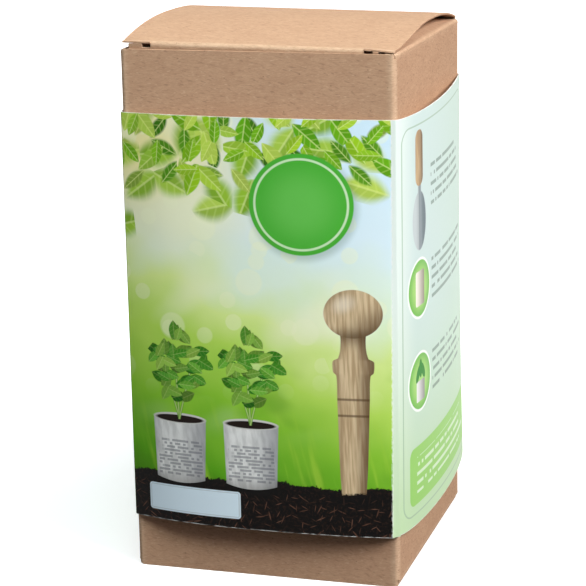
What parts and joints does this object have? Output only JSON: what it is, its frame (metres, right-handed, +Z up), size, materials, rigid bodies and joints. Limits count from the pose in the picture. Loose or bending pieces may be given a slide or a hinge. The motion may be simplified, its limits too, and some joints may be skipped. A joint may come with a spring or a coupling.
{
  "type": "boxed paper pot press",
  "caption": "Kraft tuck-end carton in a loose printed paper sleeve, holding a turned wooden press that shapes and closes paper seedling pots.",
  "frame": {"origin": "centre of the carton's footprint, on the face it stands on", "axes": "+Z up, -Y towards the front panel and the lid's tuck flap, +X to the right as seen from the front"},
  "size_m": [0.0832, 0.0842, 0.1507],
  "materials": {
    "kraft_board": "brown kraft folding board, uncoated, with visible fibres and pale worn creases",
    "printed_paper": "white paper printed in pale blue, yellow-green and leaf green, satin, with bare white cut edges",
    "beech": "bare turned beech, fine sanded, with growth rings and light lathe marks"
  },
  "bodies": {
    "carton": {"front_panel": "kraft_board", "right_panel": "kraft_board", "back_panel": "kraft_board", "left_panel": "kraft_board", "glue_flap": "kraft_board"},
    "lid": {"lid_panel": "kraft_board"},
    "lid_tuck": {"lid_tuck_flap": "kraft_board"},
    "left_dust": {"left_dust_flap": "kraft_board"},
    "right_dust": {"right_dust_flap": "kraft_board"},
    "base": {"base_panel": "kraft_board"},
    "base_tuck": {"base_tuck_flap": "kraft_board"},
    "base_left_dust": {"base_left_dust_flap": "kraft_board"},
    "base_right_dust": {"base_right_dust_flap": "kraft_board"},
    "sleeve": {"sleeve_front": "printed_paper", "sleeve_right": "printed_paper", "sleeve_back": "printed_paper", "sleeve_left": "printed_paper", "sleeve_seam_lap": "printed_paper"},
    "press_stand": {"press_base": "beech"},
    "press_handle": {"press_former": "beech"}
  },
  "joints": [
    {"name": "press_lift", "type": "slide", "parent": "carton", "child": "press_stand", "axis": [0, 0, 1], "range_m": [0, 0.0974]},
    {"name": "press_twist", "type": "hinge", "parent": "press_stand", "child": "press_handle", "pos_m": [0, 0, 0.05], "axis": [0, 0, 1], "continuous": true},
    {"name": "lid_hinge", "type": "hinge", "parent": "carton", "child": "lid", "pos_m": [0, 0.03775, 0.14545], "axis": [-1, 0, 0], "range_deg": [0, 180]},
    {"name": "lid_tuck_fold", "type": "hinge", "parent": "lid", "child": "lid_tuck", "pos_m": [0, -0.0371, 0.1461], "axis": [-0.9999, 0, 0.0147], "range_deg": [0, 45]},
    {"name": "left_dust_fold", "type": "hinge", "parent": "carton", "child": "left_dust", "pos_m": [-0.03725, 0, 0.14475], "axis": [0, -1, 0], "range_deg": [0, 180]},
    {"name": "right_dust_fold", "type": "hinge", "parent": "carton", "child": "right_dust", "pos_m": [0.03725, 0, 0.14475], "axis": [0, 1, 0], "range_deg": [0, 180]},
    {"name": "base_hinge", "type": "hinge", "parent": "carton", "child": "base", "pos_m": [0, 0.03775, 0.00025], "axis": [1, 0, 0], "range_deg": [0, 170]},
    {"name": "base_tuck_fold", "type": "hinge", "parent": "base", "child": "base_tuck", "pos_m": [0, -0.0371, 0.00025], "axis": [1, 0, 0], "range_deg": [0, 43]},
    {"name": "base_left_dust_fold", "type": "hinge", "parent": "carton", "child": "base_left_dust", "pos_m": [-0.03725, 0, 0.00095], "axis": [0, 1, 0], "range_deg": [0, 170.5]},
    {"name": "base_right_dust_fold", "type": "hinge", "parent": "carton", "child": "base_right_dust", "pos_m": [0.03725, 0, 0.00095], "axis": [0, -1, 0], "range_deg": [0, 170.5]},
    {"name": "sleeve_slide", "type": "slide", "parent": "carton", "child": "sleeve", "axis": [0, 0, 1], "range_m": [-0.013, 0.145]}
  ],
  "couplings": [
    {"joint": "lid_hinge", "follows": "press_lift", "rad_per_m": 32.25},
    {"joint": "lid_tuck_fold", "follows": "press_lift", "rad_per_m": 8.06},
    {"joint": "left_dust_fold", "follows": "press_lift", "rad_per_m": 32.25},
    {"joint": "right_dust_fold", "follows": "press_lift", "rad_per_m": 32.25},
    {"joint": "base_tuck_fold", "follows": "base_hinge", "ratio": 0.25},
    {"joint": "base_left_dust_fold", "follows": "base_hinge", "ratio": 1},
    {"joint": "base_right_dust_fold", "follows": "base_hinge", "ratio": 1}
  ]
}
